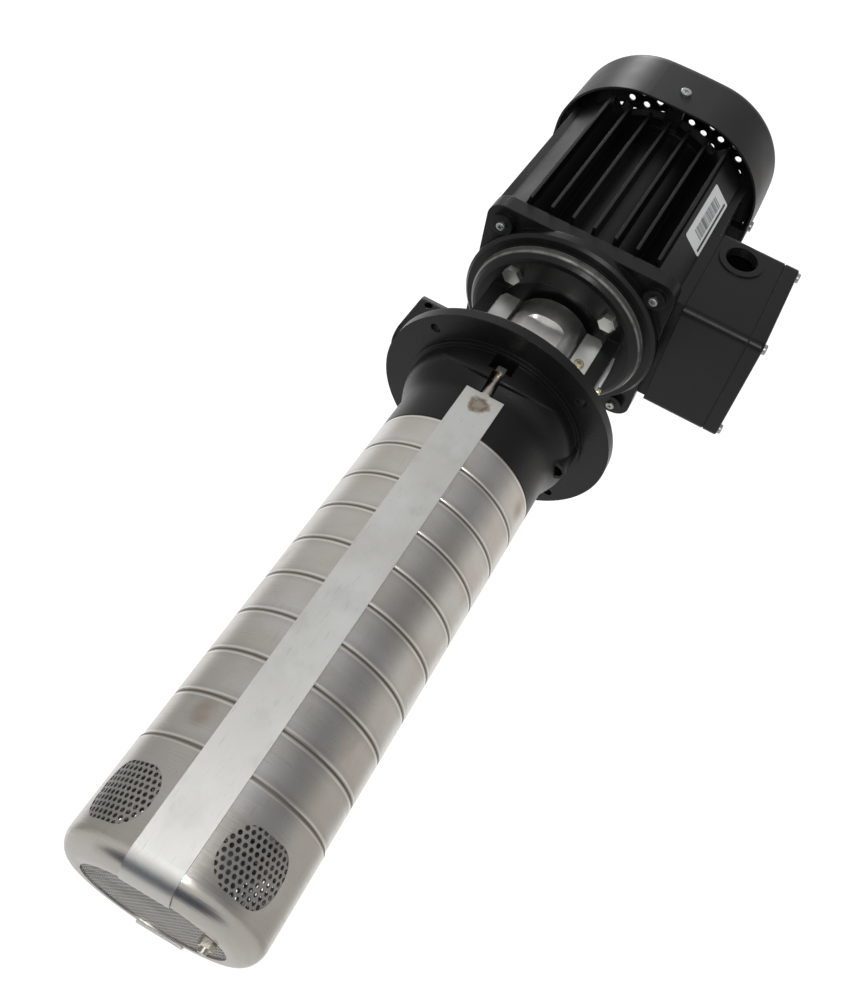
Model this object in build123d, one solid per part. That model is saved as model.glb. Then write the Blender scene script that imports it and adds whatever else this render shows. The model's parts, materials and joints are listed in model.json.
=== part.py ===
"""Immersible vertical multistage pump, built as separate sub-parts.

Frame: millimetres, +Z up towards the motor. The origin is the centre of the
seating face of the mounting flange, so the wetted stack hangs at negative Z.
The front strap faces -Y and the terminal box faces +X.
"""
import os
from math import cos, pi, radians, sin, sqrt

from build123d import *

# ---------------------------------------------------------------- driving sizes
# Mounting flange and spigot
flange_r = 90.0
flange_t = 8.0
flange_hole_r = 3.75
flange_pcd = 160.0
collar_r = 69.5
collar_h = 4.0
spigot_len = 65.0
spigot_wall = 6.0
flare_r = 66.5
flare_top = 9.0
flare_bottom = 40.0
flange_holes = 4

# Stack of chambers
stage_count = 9
stage_pitch = 27.0
stack_r = 58.0
sheet = 1.2
diaphragm_t = 2.0
return_vane_h = 7.0
return_vane_count = 6
return_vane_t = 2.0
lip_depth = 0.5
lip_h = 1.6

# Impellers
impeller_r = 46.0
shroud_t = 2.0
channel_h = 5.0
blade_count = 6
blade_t = 2.0
neck_r = 20.0
neck_wall = 3.0
hub_r = 11.5
impeller_drop = 11.0

# Strainer
strainer_h = 62.0
strainer_edge_r = 12.0
strainer_step = 0.8
strainer_floor_t = 0.8
window_w = 41.0
window_h = 31.0
window_corner_r = 13.5
window_drop = 31.0
window_turn = 40.0
window_cut_from = 20.0
screen_t = 0.8
bottom_opening_r = 43.0
bottom_screen_t = 1.0
bottom_screen_lap = 2.5
bottom_screw_place_r = 36.0
bottom_screw_turn = -22.0
bottom_screw_r = 2.5
bottom_nut_af = 8.0
bottom_nut_h = 4.0
bottom_screw_tip = 2.5
bottom_screw_len = 14.0

# Straps
strap_w = 28.0
strap_t = 1.0
strap_top = -34.0
stud_r = 3.5
stud_top = -7.5
stud_weld_len = 16.0
stud_sink = 0.5
stud_seat = -16.0
lug_h = 8.0
pocket_gap = 1.0
pocket_below = 8.0
shelf_arc_r = 90.0
shelf_edge_r = 1.5
nut_pocket_gap = 1.5
stud_groove_gap = 0.6
strap_nut_af = 11.0
strap_nut_h = 5.0
strap_washer_r = 7.0
strap_washer_t = 1.2

# Drain lug
drain_lug_r = 9.5
drain_lug_x = 58.0
drain_lug_y = -9.0
drain_lug_low = -26.0
drain_hole_r = 5.0
drain_hole_x = 60.5
drain_hole_top = -12.0

# Waterway in the head
throat_step = 8.0
mouth_h = 4.0
throat_h = 5.0
waterway_roof = 15.0
seal_chamber_r = 22.0

# Discharge port
port_half = 25.0
port_corner_r = 10.0
port_face = 90.0
port_inner = 56.0
duct_block_gap = 1.0
duct_block_half = 16.0
duct_block_rise = 15.0
port_z = 29.0
port_thread_r = 19.5
port_thread_len = 20.0
duct_r = 10.0
duct_wall = 2.5
gauge_hole_r = 3.0
gauge_hole_depth = 6.0
gauge_hole_inset = 8.0
gauge_hole_rise = 13.0

# Motor stool
stool_h = 96.0
stool_plate_t = 10.0
stool_plate_r = 73.0
stool_plate_low_r = 66.0
stool_bore_r = 47.5
leg_x = 44.0
leg_t = 11.0
leg_foot_w = 58.0
leg_head_w = 46.0
leg_taper_share = 0.45
seal_boss_r = 27.0
seal_boss_h = 14.0

# Shaft, seal and coupling
pump_shaft_r = 8.0
running_clearance = 0.05
neck_clearance = 0.3
seal_seat_r = 17.0
seal_seat_t = 6.0
seal_spring_r = 15.0
seal_rotor_len = 18.0
seal_ring_h = 5.0
seal_collar_h = 4.0
seal_sleeve_step = 2.5
bush_wall = 3.0
bush_len = 12.0
coupling_r = 33.0
coupling_collar_r = 31.5
coupling_collar_h = 19.0
coupling_lift = 9.0
coupling_rise = 2.0
coupling_split = 0.6
coupling_flat_w = 34.0
coupling_flat_y = 29.0
coupling_flat_corner_r = 9.0
coupling_screw_r = 3.0
coupling_screw_head_r = 5.0
coupling_screw_head_h = 6.0
coupling_screw_x = 21.0
coupling_screw_seat = 13.0
coupling_screw_tip = 15.0
coupling_screw_lift = 8.0
coupling_screw_pitch = 12.0
coupling_pin_r = 2.5
coupling_pin_half = 14.0
coupling_pin_lift = 14.0
shaft_joint_lift = 29.0
shaft_joint_gap = 2.0

# Motor
motor_bolt_pcd = 115.0
bolt_r = 4.0
bolt_head_af = 13.0
bolt_head_h = 5.3
bolt_depth = 22.0
shield_face_r = 74.0
shield_face_h = 2.5
shield_r = 82.5
shield_edge = 2.5
shield_ring_h = 12.0
shield_half = 79.0
shield_corner_r = 14.0
shield_h = 25.0
shield_pad_drop = 6.0
shield_lobe_r = 9.0
shield_bore_h = 12.0
corner_screw_pcd = 182.0
corner_screw_r = 2.5
corner_screw_head_r = 3.6
corner_screw_head_h = 2.6
corner_screw_bite = 12.0
spigot_h = 3.0
housing_h = 168.0
housing_r = 67.0
housing_bore_r = 62.0
corner_flat_w = 27.0
corner_flat_r = 94.0
corner_root_r = 40.0
fin_tip = 83.0
fin_pitch = 18.0
fin_count = 7
fin_root_t = 4.0
fin_tip_t = 2.6
fin_inset = 4.0
rear_shield_h = 13.0
rear_plate_r = 72.0
rear_flat_step = 4.0
arm_t = 4.0
arm_foot_gap = 4.0
arm_foot_from = 50.0
bearing_r = 26.0
bearing_w = 15.0
bearing_ring_t = 4.0
bearing_hub_wall = 5.0
motor_shaft_r = 12.0
motor_journal_r = 12.5
rotor_core_r = 36.0
rotor_core_h = 90.0
air_gap = 0.4
winding_h = 24.0
winding_t = 16.0

# Fan and fan cover
cover_half = 98.0
cover_bow = 6.0
cover_corner_r = 74.0
cover_wall = 2.0
cover_h = 73.0
cover_edge_r = 16.0
cover_screw_r = 2.5
cover_screw_head_r = 5.0
cover_screw_head_h = 2.6
cover_screw_z = 24.0
cover_arm_w = 14.0
grille_rings = 4
grille_first_r = 30.0
grille_step = 12.0
grille_first_count = 12
grille_hole_r = 3.2
fan_r = 74.0
fan_hub_r = 20.0
fan_blade_h = 26.0
fan_plate_t = 3.0
fan_blade_t = 2.5
fan_blades = 8
fan_gap = 6.0
fan_seat_r = 9.0

# Terminal box
box_seat_x = 86.0
box_pad_inset = 1.5
box_pad_half_h = 46.0
box_pad_from = 50.0
box_half_w = 58.0
box_half_h = 52.5
box_rise = 46.5
box_depth = 54.0
box_wall = 4.0
box_corner_r = 7.0
box_post_r = 5.0
box_gasket_t = 1.0
lid_depth = 12.0
lid_wall = 3.5
lid_screw_r = 2.0
lid_screw_head_r = 4.2
lid_screw_head_h = 2.6
lid_screw_inset = 6.5
lid_screw_bite = 12.0
lid_rim = 9.0
lid_edge_r = 2.0
entry_r = 13.4
entry_rim_r = 19.0
entry_rim_h = 1.2
entry_x = 107.6
entry_rise = 27.5
entry_boss_in = 4.0
board_w = 52.0
board_h = 34.0
board_t = 8.0
terminal_r = 2.0
terminal_h = 14.0

# Guard brackets beside the coupling
bracket_t = 1.5
bracket_y = 20.0
bracket_turn = 15.0
bracket_leg = 18.0
bracket_drop = 3.5
bracket_h = 44.5
bracket_chamfer = 5.0
bracket_screw_x = 36.0
bracket_screw_lift = 12.0
bracket_screw_len = 8.0
bracket_screw_head_r = 4.0
bracket_screw_head_h = 2.6
bracket_screw_r = 2.0
side_plate_w = 16.0
side_plate_h = 37.0
side_plate_lift = 2.0
side_screw_lift = 6.0

# Clearances
fit_gap = 0.1
press_gap = 0.02
strap_gap = 0.1
pin_end_gap = 0.3

# ---------------------------------------------------------------- derived sizes
stack_top = -spigot_len
stack_bottom = stack_top - stage_count * stage_pitch
strainer_r = stack_r + strainer_step
strainer_bottom = stack_bottom - strainer_h
strap_r = strainer_r + strap_gap
stud_x = strap_r - stud_sink
seat_z = stool_h + stool_plate_t
shield_top = seat_z + shield_h
housing_top = shield_top + housing_h
rear_top = housing_top + rear_shield_h
cover_low = housing_top
cover_top = cover_low + cover_h
box_outer_x = box_seat_x + box_depth
lid_outer_x = box_outer_x + box_gasket_t + lid_depth
front_bearing_z = seat_z + 2.0
rear_bearing_z = housing_top - 4.0
seal_face_z = 2.0
middle = shield_top + housing_h / 2
duct_block_x = coupling_r + duct_block_gap
duct_block_top = port_z + duct_block_rise
duct_x = duct_block_x + duct_wall + duct_r
coupling_low = flange_t + seal_boss_h + coupling_lift
coupling_high = stool_h + coupling_rise
coupling_screw_levels = (
    coupling_low + coupling_screw_lift,
    coupling_low + coupling_screw_lift + coupling_screw_pitch,
)
coupling_pin_z = coupling_low + coupling_pin_lift
shaft_joint_z = coupling_low + shaft_joint_lift
bracket_top = stool_h - bracket_drop
bracket_bottom = bracket_top - bracket_h
bracket_screw_z = bracket_bottom + bracket_screw_lift
side_plate_low = bracket_bottom + side_plate_lift
side_screw_z = side_plate_low + side_screw_lift
box_z = shield_top + box_rise
entry_z = box_z + entry_rise

MIN_Z = (Align.CENTER, Align.CENTER, Align.MIN)


# ---------------------------------------------------------------- small helpers
def rod(radius, low, high, x=0.0, y=0.0):
    """Upright cylinder between two heights."""
    return Pos(x, y, low) * Cylinder(radius, high - low, align=MIN_Z)


def tube(outer, inner, low, high):
    """Upright ring between two heights."""
    return rod(outer, low, high) - rod(inner, low - 1, high + 1)


def block(x0, x1, y0, y1, z0, z1):
    """Box between two corners."""
    box = Box(x1 - x0, y1 - y0, z1 - z0)
    return Pos((x0 + x1) / 2, (y0 + y1) / 2, (z0 + z1) / 2) * box


def rod_x(radius, x0, x1, y=0.0, z=0.0):
    """Cylinder along X."""
    bar = Rot(0, 90, 0) * Cylinder(radius, x1 - x0)
    return Pos((x0 + x1) / 2, y, z) * bar


def rod_y(radius, y0, y1, x=0.0, z=0.0):
    """Cylinder along Y."""
    bar = Rot(90, 0, 0) * Cylinder(radius, y1 - y0)
    return Pos(x, (y0 + y1) / 2, z) * bar


def hexagon(across_flats, low, high, x=0.0, y=0.0):
    """Upright hexagonal prism."""
    face = RegularPolygon(across_flats / sqrt(3), 6)
    return Pos(x, y, low) * extrude(face, high - low)


def turned(points):
    """Solid of revolution from (radius, height) corners."""
    face = make_face(Polyline(*points, close=True))
    return revolve(Plane.XZ * face, Axis.Z)


def ring_places(diameter, count, start=45.0):
    """Points of a bolt circle."""
    step = 360.0 / count
    angles = [radians(start + step * k) for k in range(count)]
    return [(diameter / 2 * cos(a), diameter / 2 * sin(a)) for a in angles]


def around(shape, count, start=0.0):
    """Copies of a shape turned about Z."""
    step = 360.0 / count
    return [Rot(0, 0, start + step * k) * shape for k in range(count)]


def fuse(shapes):
    """One shape from many."""
    total = shapes[0]
    for shape in shapes[1:]:
        total = total + shape
    return total


def save(name, shapes):
    """Write one node as a STEP file."""
    items = shapes if isinstance(shapes, list) else [shapes]
    solids = [s for item in items for s in item.solids()]
    node = solids[0] if len(solids) == 1 else Compound(children=solids)
    node.label = name
    export_step(node, f"parts/{name}.step")


# ---------------------------------------------------------------- pump head
def head_body():
    """Spigot, flare, collar and flange as one turned casting."""
    face = make_face(
        Line((0, stack_top), (stack_r, stack_top))
        + Line((stack_r, stack_top), (stack_r, -flare_bottom))
        + Spline(
            (stack_r, -flare_bottom),
            ((stack_r + flare_r) / 2, -(flare_bottom + flare_top) / 2),
            (flare_r, -flare_top),
            tangents=((0, 1), (0, 1)),
        )
        + Polyline(
            (flare_r, -flare_top),
            (flare_r, -collar_h),
            (collar_r, -collar_h),
            (collar_r, 0),
            (flange_r, 0),
            (flange_r, flange_t),
            (0, flange_t),
            (0, stack_top),
        )
    )
    return revolve(Plane.XZ * face, Axis.Z)


def head_waterway():
    """Hollow inside the spigot and the seal chamber."""
    inner = stack_r - spigot_wall
    throat = inner - throat_step
    return turned(
        [
            (0, stack_top - 1),
            (inner, stack_top - 1),
            (inner, stack_top + mouth_h),
            (throat, stack_top + mouth_h + throat_h),
            (throat, -waterway_roof),
            (seal_chamber_r, -waterway_roof),
            (seal_chamber_r, seal_face_z),
            (0, seal_face_z),
        ]
    )


def strap_shelf():
    """Shelf that carries one strap nut; its lower edge is an arc that runs out at the sides."""
    low = stud_seat - lug_h
    shelf = rod(flare_r, low - shelf_edge_r, -collar_h) & rod_y(
        shelf_arc_r, -flare_r - 1, -leg_x, 0, low + shelf_arc_r
    )
    front = shelf.edges().filter_by(GeomType.LINE, reverse=True).sort_by(Axis.Z)[0]
    return fillet(front, shelf_edge_r)


def strap_pocket():
    """Room for one strap: its upper end, its stud and its nut."""
    outer = collar_r + 1
    groove_low = strap_top - stud_weld_len - 1
    groove = stud_r + stud_groove_gap
    side = strap_w / 2 + pocket_gap
    end = block(-side, side, -outer, -stack_r, strap_top - pocket_below, strap_top + pocket_gap)
    reach = strap_washer_r + nut_pocket_gap
    nut = rod(reach, stud_seat, -collar_h, 0, -stud_x)
    nut_way = block(-reach, reach, -outer, -stud_x, stud_seat, -collar_h)
    hole = rod(groove, groove_low, stud_seat + 1, 0, -stud_x)
    slot = block(-groove, groove, -outer, -stud_x, groove_low, stud_seat + 1)
    return end + nut + nut_way + hole + slot


def drain_lug():
    """Side lug under the flange."""
    return rod(drain_lug_r, drain_lug_low, -collar_h, drain_lug_x, drain_lug_y)


def discharge_port():
    """Squarish outlet boss above the flange, facing -X."""
    face = RectangleRounded(2 * port_half, 2 * port_half, port_corner_r)
    plane = Plane((-port_inner + 2, 0, port_z), (0, 1, 0), (-1, 0, 0))
    boss = extrude(plane * face, port_face - port_inner + 2)
    half = duct_block_half
    return boss + block(-port_inner, -duct_block_x, -half, half, flange_t - 1, duct_block_top)


def discharge_duct():
    """Threaded mouth, duct and drop into the spigot."""
    mouth = rod_x(port_thread_r, -port_face - 1, -port_face + port_thread_len, 0, port_z)
    run = rod_x(duct_r + 1, -port_face + port_thread_len - 1, -duct_x, 0, port_z)
    drop = rod(duct_r, -flare_top - 17, port_z, -duct_x, 0)
    return mouth + run + drop


def stool_leg():
    """One leg, wider at the foot, on the +X side."""
    foot = leg_foot_w / 2
    top = leg_head_w / 2
    face = make_face(
        Polyline(
            (-foot, flange_t - 1),
            (foot, flange_t - 1),
            (top, stool_h * leg_taper_share),
            (top, stool_h + 1),
            (-top, stool_h + 1),
            (-top, stool_h * leg_taper_share),
            close=True,
        )
    )
    return extrude(Plane((leg_x, 0, 0), (0, 1, 0), (1, 0, 0)) * face, leg_t)


def stool_plate():
    """Ring that carries the motor."""
    return turned(
        [
            (stool_bore_r, stool_h),
            (stool_plate_low_r, stool_h),
            (stool_plate_low_r + 3, stool_h + 1.2),
            (stool_plate_r - 1.5, stool_h + 4.0),
            (stool_plate_r, stool_h + 6.5),
            (stool_plate_r, seat_z),
            (stool_bore_r, seat_z),
        ]
    )


def pump_head():
    """The whole head casting."""
    leg = stool_leg()
    body = head_body() + discharge_port() + leg + mirror(leg, Plane.YZ) + stool_plate()
    body = body + rod(seal_boss_r, flange_t - 1, flange_t + seal_boss_h) + drain_lug()
    body = fuse([body] + around(strap_shelf(), 2))
    body = body - head_waterway() - discharge_duct()
    for pocket in around(strap_pocket(), 2):
        body = body - pocket
    body = body - rod(drain_hole_r, drain_lug_low - 1, drain_hole_top, drain_hole_x, drain_lug_y)
    body = body - rod(seal_seat_r + fit_gap, seal_face_z - 1, seal_face_z + seal_seat_t)
    body = body - rod(pump_shaft_r + 1.5, 0, flange_t + seal_boss_h + 1)
    for x, y in ring_places(flange_pcd, flange_holes):
        body = body - rod(flange_hole_r, -1, flange_t + 1, x, y)
    for x, y in ring_places(motor_bolt_pcd, 4):
        body = body - rod(bolt_r + 0.5, stool_h - 1, seat_z + 1, x, y)
    gauge_x = -port_face + gauge_hole_inset
    gauge_z = port_z + gauge_hole_rise
    return body - rod_y(gauge_hole_r, -port_half - 1, -port_half + gauge_hole_depth, gauge_x, gauge_z)


# ---------------------------------------------------------------- chambers
def return_vane():
    """One curved return vane under a diaphragm."""
    inner = neck_r + 4
    outer = stack_r - sheet - 1
    line = ThreePointArc((inner, 0), ((inner + outer) / 2, 9), (outer, 0))
    face = make_face(
        line
        + Line((outer, 0), (outer, return_vane_t))
        + ThreePointArc((outer, return_vane_t), ((inner + outer) / 2, 9 + return_vane_t), (inner, return_vane_t))
        + Line((inner, return_vane_t), (inner, 0))
    )
    return extrude(face, return_vane_h + 0.5)


def chamber(top):
    """Pressed stage casing with its diaphragm, lip and return vanes."""
    bottom = top - stage_pitch
    inner = stack_r - sheet
    shell = turned(
        [
            (neck_r + neck_clearance, top - diaphragm_t),
            (inner, top - diaphragm_t),
            (inner, bottom),
            (stack_r - lip_depth, bottom),
            (stack_r - lip_depth, bottom + lip_h * 0.5),
            (stack_r, bottom + lip_h),
            (stack_r, top - 0.6),
            (stack_r - 0.6, top),
            (neck_r + neck_clearance, top),
        ]
    )
    vane = Pos(0, 0, top - diaphragm_t - return_vane_h) * return_vane()
    return fuse([shell] + around(vane, return_vane_count))


def impeller_blade():
    """One backward-curved blade."""
    inner = neck_r - 1
    outer = impeller_r - 1
    middle_r = (inner + outer) / 2
    face = make_face(
        ThreePointArc((inner, 0), (middle_r, 6), (outer, 18))
        + Line((outer, 18), (outer - blade_t, 18 + blade_t * 0.6))
        + ThreePointArc((outer - blade_t, 18 + blade_t * 0.6), (middle_r - 1, 6 + blade_t), (inner, blade_t))
        + Line((inner, blade_t), (inner, 0))
    )
    return extrude(face, channel_h + 1)


def impeller(top):
    """Closed impeller of the stage whose chamber starts at top."""
    disc_top = top - impeller_drop
    disc_low = disc_top - shroud_t
    ring_top = disc_low - channel_h
    ring_low = ring_top - shroud_t
    neck_low = top - stage_pitch - diaphragm_t + 0.5
    bore = pump_shaft_r + press_gap
    disc = rod(impeller_r, disc_low, disc_top)
    shroud = tube(impeller_r, neck_r - neck_wall, ring_low, ring_top)
    neck = tube(neck_r, neck_r - neck_wall, neck_low, ring_low + 0.5)
    hub = rod(hub_r, ring_low - 4, disc_top + 3)
    blade = Pos(0, 0, ring_top - 0.5) * impeller_blade()
    wheel = fuse([disc, shroud, neck, hub] + around(blade, blade_count))
    return wheel - rod(bore, neck_low - 1, top)


# ---------------------------------------------------------------- strainer
def strainer_profile(radius, bottom, edge_r, top):
    """Outline of a can with a rounded lower edge, as a solid."""
    face = make_face(
        Polyline((0, bottom), (radius - edge_r, bottom))
        + ThreePointArc(
            (radius - edge_r, bottom),
            (radius - edge_r * (1 - sin(pi / 4)), bottom + edge_r * (1 - cos(pi / 4))),
            (radius, bottom + edge_r),
        )
        + Polyline((radius, bottom + edge_r), (radius, top), (0, top), (0, bottom))
    )
    return revolve(Plane.XZ * face, Axis.Z)


def strainer_housing():
    """Outer can with windows, a floor opening and the inlet plate."""
    outer = strainer_profile(strainer_r, strainer_bottom, strainer_edge_r, stack_bottom)
    inner = strainer_profile(
        strainer_r - sheet,
        strainer_bottom + strainer_floor_t,
        strainer_edge_r - sheet,
        stack_bottom - diaphragm_t,
    )
    can = outer - inner
    can = can - rod(neck_r + neck_clearance, stack_bottom - 5, stack_bottom + 1)
    can = can - rod(bottom_opening_r, strainer_bottom - 1, strainer_bottom + strainer_floor_t + 1)
    face = RectangleRounded(window_w, window_h, window_corner_r)
    mid = stack_bottom - window_drop
    window = extrude(Plane((0, -window_cut_from, mid), (1, 0, 0), (0, -1, 0)) * face, strainer_r)
    for turn in (window_turn, -window_turn, 180 + window_turn, 180 - window_turn):
        can = can - Rot(0, 0, turn) * window
    return can


def side_screen():
    """Perforated sleeve behind the windows."""
    outer = strainer_r - sheet - fit_gap
    low = strainer_bottom + strainer_edge_r
    return tube(outer, outer - screen_t, low, stack_bottom - diaphragm_t - fit_gap)


def bottom_screw_place():
    """Place of the floor screw."""
    turn = radians(bottom_screw_turn)
    return bottom_screw_place_r * cos(turn), bottom_screw_place_r * sin(turn)


def bottom_screen():
    """Perforated floor plate that lies inside on the rim of the opening."""
    low = strainer_bottom + strainer_floor_t
    plate = rod(bottom_opening_r + bottom_screen_lap, low, low + bottom_screen_t)
    x, y = bottom_screw_place()
    return plate - rod(bottom_screw_r + fit_gap, low - 1, low + bottom_screen_t + 1, x, y)


def bottom_screw():
    """Floor screw whose tip comes down through the plate into a nut."""
    x, y = bottom_screw_place()
    low = strainer_bottom + strainer_floor_t
    nut = hexagon(bottom_nut_af, low - bottom_nut_h, low, x, y)
    return nut + rod(bottom_screw_r, low - bottom_nut_h - bottom_screw_tip, low + bottom_screw_len, x, y)


def bearing_holder():
    """Spider under the inlet plate that carries the lower bush."""
    top = stack_bottom - diaphragm_t
    low = top - bush_len
    rim = tube(strainer_r - sheet - screen_t - 2 * fit_gap - 0.3, 50.0, low + 4, top)
    hub = rod(pump_shaft_r + bush_wall + 4, low, top - 4)
    arm = block(pump_shaft_r, 52.0, -3, 3, low + 4, low + 8)
    holder = fuse([rim, hub] + around(arm, 3, 90))
    return holder - rod(pump_shaft_r + bush_wall + fit_gap / 2, low - 1, top + 1)


def lower_bush():
    """Journal bush of the pump shaft."""
    top = stack_bottom - diaphragm_t - 4
    outer = pump_shaft_r + bush_wall
    return tube(outer, pump_shaft_r + running_clearance, top - bush_len + 4, top)


# ---------------------------------------------------------------- straps
def strap():
    """Front strap with its hook round the lower edge of the strainer."""
    high = extrude_strap(strap_r + strap_t, strainer_bottom - strap_gap - strap_t)
    low = extrude_strap(strap_r, strainer_bottom - strap_gap)
    return high - low


def extrude_strap(radius, bottom):
    """Filled strip with the outline of one face of the strap."""
    edge = strainer_edge_r + radius - strainer_r
    hook_r = radius - edge
    face = make_face(
        Polyline((hook_r - 3, strap_top), (radius, strap_top), (radius, bottom + edge))
        + ThreePointArc(
            (radius, bottom + edge),
            (radius - edge * (1 - cos(pi / 4)), bottom + edge * (1 - sin(pi / 4))),
            (hook_r, bottom),
        )
        + Polyline((hook_r, bottom), (hook_r - 3, bottom), (hook_r - 3, strap_top))
    )
    plane = Plane((0, 0, 0), (0, -1, 0), (-1, 0, 0))
    return extrude(plane * face, strap_w / 2, both=True)


def strap_stud():
    """Stud welded to the back of the strap, rising to the nut."""
    low = strap_top - stud_weld_len
    body = rod(stud_r, low, stud_top - 1.5, 0, -stud_x)
    body = body - block(-10, 10, -stud_x - 10, -strap_r + 0.01, low - 1, strap_top)
    tip = Pos(0, -stud_x, stud_top - 1.5) * Cone(stud_r, stud_r - 1.5, 1.5, align=MIN_Z)
    return body + tip


def strap_washer():
    """Washer on the lug."""
    ring = rod(strap_washer_r, stud_seat, stud_seat + strap_washer_t, 0, -stud_x)
    return ring - rod(stud_r + fit_gap, stud_seat - 1, stud_seat + 3, 0, -stud_x)


def strap_nut():
    """Nut on the washer."""
    low = stud_seat + strap_washer_t
    nut = hexagon(strap_nut_af, low, low + strap_nut_h, 0, -stud_x)
    return nut - rod(stud_r + fit_gap / 2, low - 1, low + 9, 0, -stud_x)


# ---------------------------------------------------------------- seal, shaft
def seal_seat():
    """Stationary seal ring in the head."""
    return tube(seal_seat_r, pump_shaft_r + 1.0, seal_face_z, seal_face_z + seal_seat_t)


def seal_rotor():
    """Rotating seal ring, spring sleeve and collar on the shaft."""
    top = seal_face_z - running_clearance
    bore = pump_shaft_r + press_gap
    low = top - seal_rotor_len
    face_ring = tube(seal_spring_r, bore, top - seal_ring_h, top)
    sleeve = tube(seal_spring_r - seal_sleeve_step, bore, low, top - seal_ring_h)
    collar = tube(seal_spring_r, bore, low, low + seal_collar_h)
    return fuse([face_ring, sleeve, collar])


def pump_shaft():
    """Pump shaft with its cross hole for the coupling pin."""
    low = stack_bottom - diaphragm_t - bush_len - 3
    shaft = rod(pump_shaft_r, low, shaft_joint_z - shaft_joint_gap)
    return shaft - rod_x(coupling_pin_r, -coupling_r, coupling_r, 0, coupling_pin_z)


def coupling_pin():
    """Cross pin through the pump shaft."""
    return rod_x(coupling_pin_r - fit_gap / 2, -coupling_pin_half, coupling_pin_half, 0, coupling_pin_z)


def coupling_half():
    """Front clamp half of the coupling, with its milled flat."""
    body = rod(coupling_r, coupling_low, coupling_high - coupling_collar_h)
    body = body + rod(coupling_collar_r, coupling_high - coupling_collar_h - 1, coupling_high)
    body = body - rod(pump_shaft_r + fit_gap, coupling_low - 1, shaft_joint_z)
    body = body - rod(motor_shaft_r + fit_gap, shaft_joint_z - 1, coupling_high + 1)
    wide = coupling_r + 1
    body = body - block(-wide, wide, -coupling_split / 2, wide, coupling_low - 1, coupling_high + 1)
    pin_room = coupling_pin_half + pin_end_gap
    body = body - rod_x(coupling_pin_r + fit_gap, -pin_room, pin_room, 0, coupling_pin_z)
    flat_top = coupling_high - coupling_collar_h - 1.5
    flat_h = flat_top - coupling_low + 2 * coupling_flat_corner_r
    face = RectangleRounded(coupling_flat_w, flat_h, coupling_flat_corner_r)
    plane = Plane((0, -coupling_flat_y, flat_top - flat_h / 2), (1, 0, 0), (0, -1, 0))
    body = body - extrude(plane * face, coupling_r)
    for side in (-1, 1):
        for level in coupling_screw_levels:
            x = side * coupling_screw_x
            body = body - rod_y(coupling_screw_r + fit_gap, -wide, 0, x, level)
            body = body - rod_y(coupling_screw_head_r + fit_gap, -wide, -coupling_screw_seat, x, level)
    return body


def coupling_screws():
    """Four clamp screws, two on each side."""
    out = []
    for side in (-1, 1):
        for level in coupling_screw_levels:
            x = side * coupling_screw_x
            top = -coupling_screw_seat
            head = rod_y(coupling_screw_head_r, top - coupling_screw_head_h, top, x, level)
            shank = rod_y(coupling_screw_r, top, coupling_screw_tip, x, level)
            out.append(head + shank)
    return out


# ---------------------------------------------------------------- guard brackets
def guard_bracket(side):
    """Angle bracket on the inner face of a leg, turned in beside the coupling."""
    face = make_face(
        Polyline(
            (leg_x - fit_gap, bracket_bottom),
            (leg_x - fit_gap, bracket_top - bracket_chamfer),
            (leg_x - fit_gap - bracket_chamfer * 0.6, bracket_top),
            (leg_x - fit_gap - bracket_turn, bracket_top),
            (leg_x - fit_gap - bracket_turn, bracket_bottom),
            close=True,
        )
    )
    front = extrude(Plane((0, -bracket_y, 0), (1, 0, 0), (0, -1, 0)) * face, bracket_t)
    wall = block(
        leg_x - fit_gap - bracket_t,
        leg_x - fit_gap,
        -bracket_y - bracket_t,
        -bracket_y + bracket_leg,
        bracket_bottom,
        bracket_top - bracket_chamfer - 2,
    )
    bracket = front + wall
    bracket = bracket - rod_y(bracket_screw_r + fit_gap, -30, -10, bracket_screw_x, bracket_screw_z)
    return bracket if side > 0 else mirror(bracket, Plane.YZ)


def guard_side_plate():
    """Flat plate on the outer face of the +X leg."""
    x = leg_x + leg_t + fit_gap
    plate = block(x, x + bracket_t, -side_plate_w, 0, side_plate_low, side_plate_low + side_plate_h)
    return plate - rod_x(bracket_screw_r + fit_gap, x - 5, x + 5, -side_plate_w / 2, side_screw_z)


def guard_screws():
    """Screws of the brackets and of the side plate."""
    out = []
    face_y = -bracket_y - bracket_t
    for side in (-1, 1):
        x = side * bracket_screw_x
        head = rod_y(bracket_screw_head_r, face_y - bracket_screw_head_h, face_y, x, bracket_screw_z)
        out.append(head + rod_y(bracket_screw_r, face_y, face_y + bracket_screw_len, x, bracket_screw_z))
    x = leg_x + leg_t + fit_gap + bracket_t
    y = -side_plate_w / 2
    head = rod_x(bracket_screw_head_r, x, x + bracket_screw_head_h, y, side_screw_z)
    out.append(head + rod_x(bracket_screw_r, x - bracket_t - fit_gap / 2, x, y, side_screw_z))
    return out


# ---------------------------------------------------------------- motor
def stool_bolts():
    """Hex bolts from the stool up into the motor flange."""
    out = []
    for x, y in ring_places(motor_bolt_pcd, 4):
        head = hexagon(bolt_head_af, stool_h - bolt_head_h, stool_h, x, y)
        out.append(head + rod(bolt_r, stool_h, stool_h + bolt_depth, x, y))
    return out


def squarish(half, corner, low, high):
    """Upright prism with a rounded square outline."""
    return Pos(0, 0, low) * extrude(RectangleRounded(2 * half, 2 * half, corner), high - low)


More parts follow.
